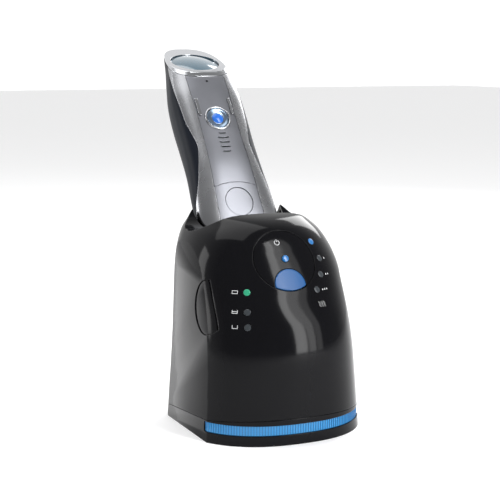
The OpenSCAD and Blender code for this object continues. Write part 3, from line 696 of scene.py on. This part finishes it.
frontPanel = carve(panelSkin(0.2, walls["panel"]), ("keep", panelPrism(0)), ("cut", belowSeam(0.2)),
                   ("cut", frontPrism(circle(shaver["buttonR"] + 1.9, 0, shaver["buttonZ"]))),
                   *[("cut", fingerRib(i)) for i in range(5)],
                   ("cut", keyPrism(-1, 0.2)), ("cut", keyPrism(1, 0.2)),
                   ("cut", frontPrism(circle(1.1, 0, 123, 48))))
finished(frontPanel, "frontPanel", "shaver", ["front_panel"], "panel_silver", place=atShaver)

lowerPanel = carve(panelSkin(0.3, walls["panel"]), ("keep", panelPrism(0)), ("keep", belowSeam(-0.1)),
                   ("cut", lockPrism(0.3)))
finished(lowerPanel, "lowerPanel", "shaver", ["lower_panel"], "panel_silver", place=atShaver)

release = carve(shaverSolid(0.7), ("keep", lockPrism(0)), ("keep", block((-20, -60, -10), (20, 0, 30))),
                ("cut", shaverSolid(2.6)))
finished(release, "headRelease", "release_key", ["head_release"], "panel_silver", place=atShaver)

for side, body, node, name in ((-1, "left_key", "side_key_left", "leftKey"),
                               (1, "right_key", "side_key_right", "rightKey")):
    key = carve(shaverSolid(-0.5), ("keep", keyPrism(side, -0.1)),
                ("keep", block((-40, -60, 80), (40, 0, 140))), ("cut", shaverSolid(2.8)))
    finished(key, name, body, [node], "bright_chrome", place=atShaver)
print("shaver shells made")


def endPrism(grow, low, high):
    return prism(circle(21 + grow, count=160, squashY=0.84), low, high, atEnd)


ring = carve(shaverSolid(0.3), ("keep", block((-60, -60, 0.1), (60, 60, 2.5), atEnd)),
             ("cut", endPrism(0.3, -1, 8)))
finished(ring, "endRing", "shaver", ["end_ring"], "bright_chrome", place=atShaver)


def ball(r, centre, count=128):
    angles = np.linspace(math.pi - 0.001, 0.001, count)
    profile = [(r * math.sin(q), centre + r * math.cos(q)) for q in angles]
    return lathe("tool", profile, atEnd, 192)


window = carve(endPrism(0, -2.2, 8), ("keep", ball(60, -55.6)))
finished(window, "endWindow", "shaver", ["end_lens"], "end_glass", place=atShaver)

seat = -curveAt(shaver["rows"], shaver["buttonZ"], 2)
r = shaver["buttonR"]
atButton = Matrix.Translation((0, seat + 1.8, shaver["buttonZ"])) @ outFront
bezelLine = [(r + 0.3, 0), (r + 1.8, 0), (r + 1.8, 1.75), (r + 1.65, 2.2), (r + 1.25, 2.52),
             (r + 0.9, 2.55), (r + 0.55, 2.4), (r + 0.3, 2.1)]
bezel = lathe("tool", bezelLine, atButton)
finished(bezel, "buttonBezel", "shaver", ["button_bezel"], "bright_chrome", sharp=50, place=atShaver)
keyLine = [(0.02, -1.2), (3, -1.2), (3, 0), (r, 0), (r, 1.6), (r - 0.25, 1.88), (r - 0.8, 1.85),
           (7.4, 1.36), (6, 1.08),
           (5.1, 1.0), (4.8, 1.35), (4.4, 1.9), (3.6, 2.35), (2.4, 2.65), (1.2, 2.82), (0.02, 2.88)]
power = lathe("tool", keyLine, Matrix.Translation((0, seat + 1.9, shaver["buttonZ"])) @ outFront)
core = [i for i, p in enumerate(power.data.polygons)
        if (atButton.inverted() @ p.center).xy.length < 4.9]
finished(power, "powerKey", "power_key", ["power_button"], "button_blue", sharp=50, place=atShaver)
power.data.materials.append(finishes["dish_silver"])  # bright dish round the lit middle
for i, face in enumerate(power.data.polygons):
    face.material_index = 0 if i in set(core) else 1
print("shaver details made")

# ---- floor, light and camera ----
stage = {"colour": (0.90, 0.90, 0.905), "back": 1.15, "front": 0.35}
floor = solid("floor", [(-6, -6, 0), (6, -6, 0), (6, 9, 0), (-6, 9, 0)], [(0, 1, 2, 3)])
floorMat = bpy.data.materials.new("paleFloor")
floorMat.use_nodes = True
floorMat.node_tree.nodes["Principled BSDF"].inputs["Base Color"].default_value = (*stage["colour"], 1)
floorMat.node_tree.nodes["Principled BSDF"].inputs["Roughness"].default_value = 0.7
floorMat.node_tree.nodes["Principled BSDF"].inputs["Emission Color"].default_value = (1, 1, 1, 1)
floorMat.node_tree.nodes["Principled BSDF"].inputs["Emission Strength"].default_value = 0.2
floor.data.materials.append(floorMat)
floor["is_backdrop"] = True

world = bpy.data.worlds.new("paleRoom")  # a pale room, brighter behind the object than in front of it
bpy.context.scene.world = world
world.use_nodes = True
wnodes, wlinks = world.node_tree.nodes, world.node_tree.links
around = wnodes.new("ShaderNodeTexCoord")
apart = wnodes.new("ShaderNodeSeparateXYZ")
fade = wnodes.new("ShaderNodeMapRange")
fade.interpolation_type = "SMOOTHSTEP"
fade.inputs["From Min"].default_value = -0.2
fade.inputs["From Max"].default_value = 0.6
fade.inputs["To Min"].default_value = stage["front"]
fade.inputs["To Max"].default_value = stage["back"]
wlinks.new(around.outputs["Generated"], apart.inputs["Vector"])
wlinks.new(apart.outputs["Y"], fade.inputs["Value"])
wlinks.new(fade.outputs["Result"], wnodes["Background"].inputs["Strength"])
wnodes["Background"].inputs["Color"].default_value = (1, 1, 1, 1)
bpy.context.scene.view_settings.view_transform = "Standard"


def softBox(name, spot, target, width, height, radiance):
    light = bpy.data.lights.new(name, "AREA")
    light.shape = "RECTANGLE"
    light.size, light.size_y = width, height
    light.energy = radiance * math.pi * width * height
    obj = bpy.data.objects.new(name, light)
    obj.location = spot
    obj.rotation_euler = (Vector(target) - Vector(spot)).to_track_quat("-Z", "Y").to_euler()
    obj.visible_camera = False
    bpy.context.scene.collection.objects.link(obj)
    return obj


tallBoxes = {"strengths": (13, 7, 3), "away": 1.15, "first": 24, "apart": 9, "size": (0.18, 1.7)}
softBox("topBox", (-0.2, 0.3, 1.7), (0, 0, 0.1), 1.2, 1.2, 2.2)
for i, strength in enumerate(tallBoxes["strengths"]):  # a row at the right, fading outwards
    turn = math.radians(tallBoxes["first"] + tallBoxes["apart"] * i)
    spot = (tallBoxes["away"] * math.sin(turn), -tallBoxes["away"] * math.cos(turn), 0.85)
    softBox(f"rightBox{i}", spot, (0, 0, 0.55), *tallBoxes["size"], strength)
softBox("rimBox", (1.0, 0.8, 0.9), (0, 0, 0.15), 0.5, 0.8, 6)
softBox("leftBox", (-1.2, 0.5, 0.55), (0, 0, 0.2), 0.35, 1.0, 5)

view = {"azimuth": -24.1, "elevation": 8.6, "distance": 1.008, "target": (-0.009, 0, 0.135),
        "lens": 93.9}
a, e = math.radians(view["azimuth"]), math.radians(view["elevation"])
toward = Vector((-math.sin(a) * math.cos(e), math.cos(a) * math.cos(e), -math.sin(e)))
camera = bpy.data.objects.new("camera", bpy.data.cameras.new("camera"))
camera.location = Vector(view["target"]) - toward * view["distance"]
camera.rotation_euler = toward.to_track_quat("-Z", "Y").to_euler()
camera.data.lens = view["lens"]
camera.data.sensor_width = 36
bpy.context.scene.collection.objects.link(camera)
bpy.context.scene.camera = camera

boxes = {"cad": cadBox, "visual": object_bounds()}
sizes = {name: [list(map(float, p)) for p in box] for name, box in boxes.items()}
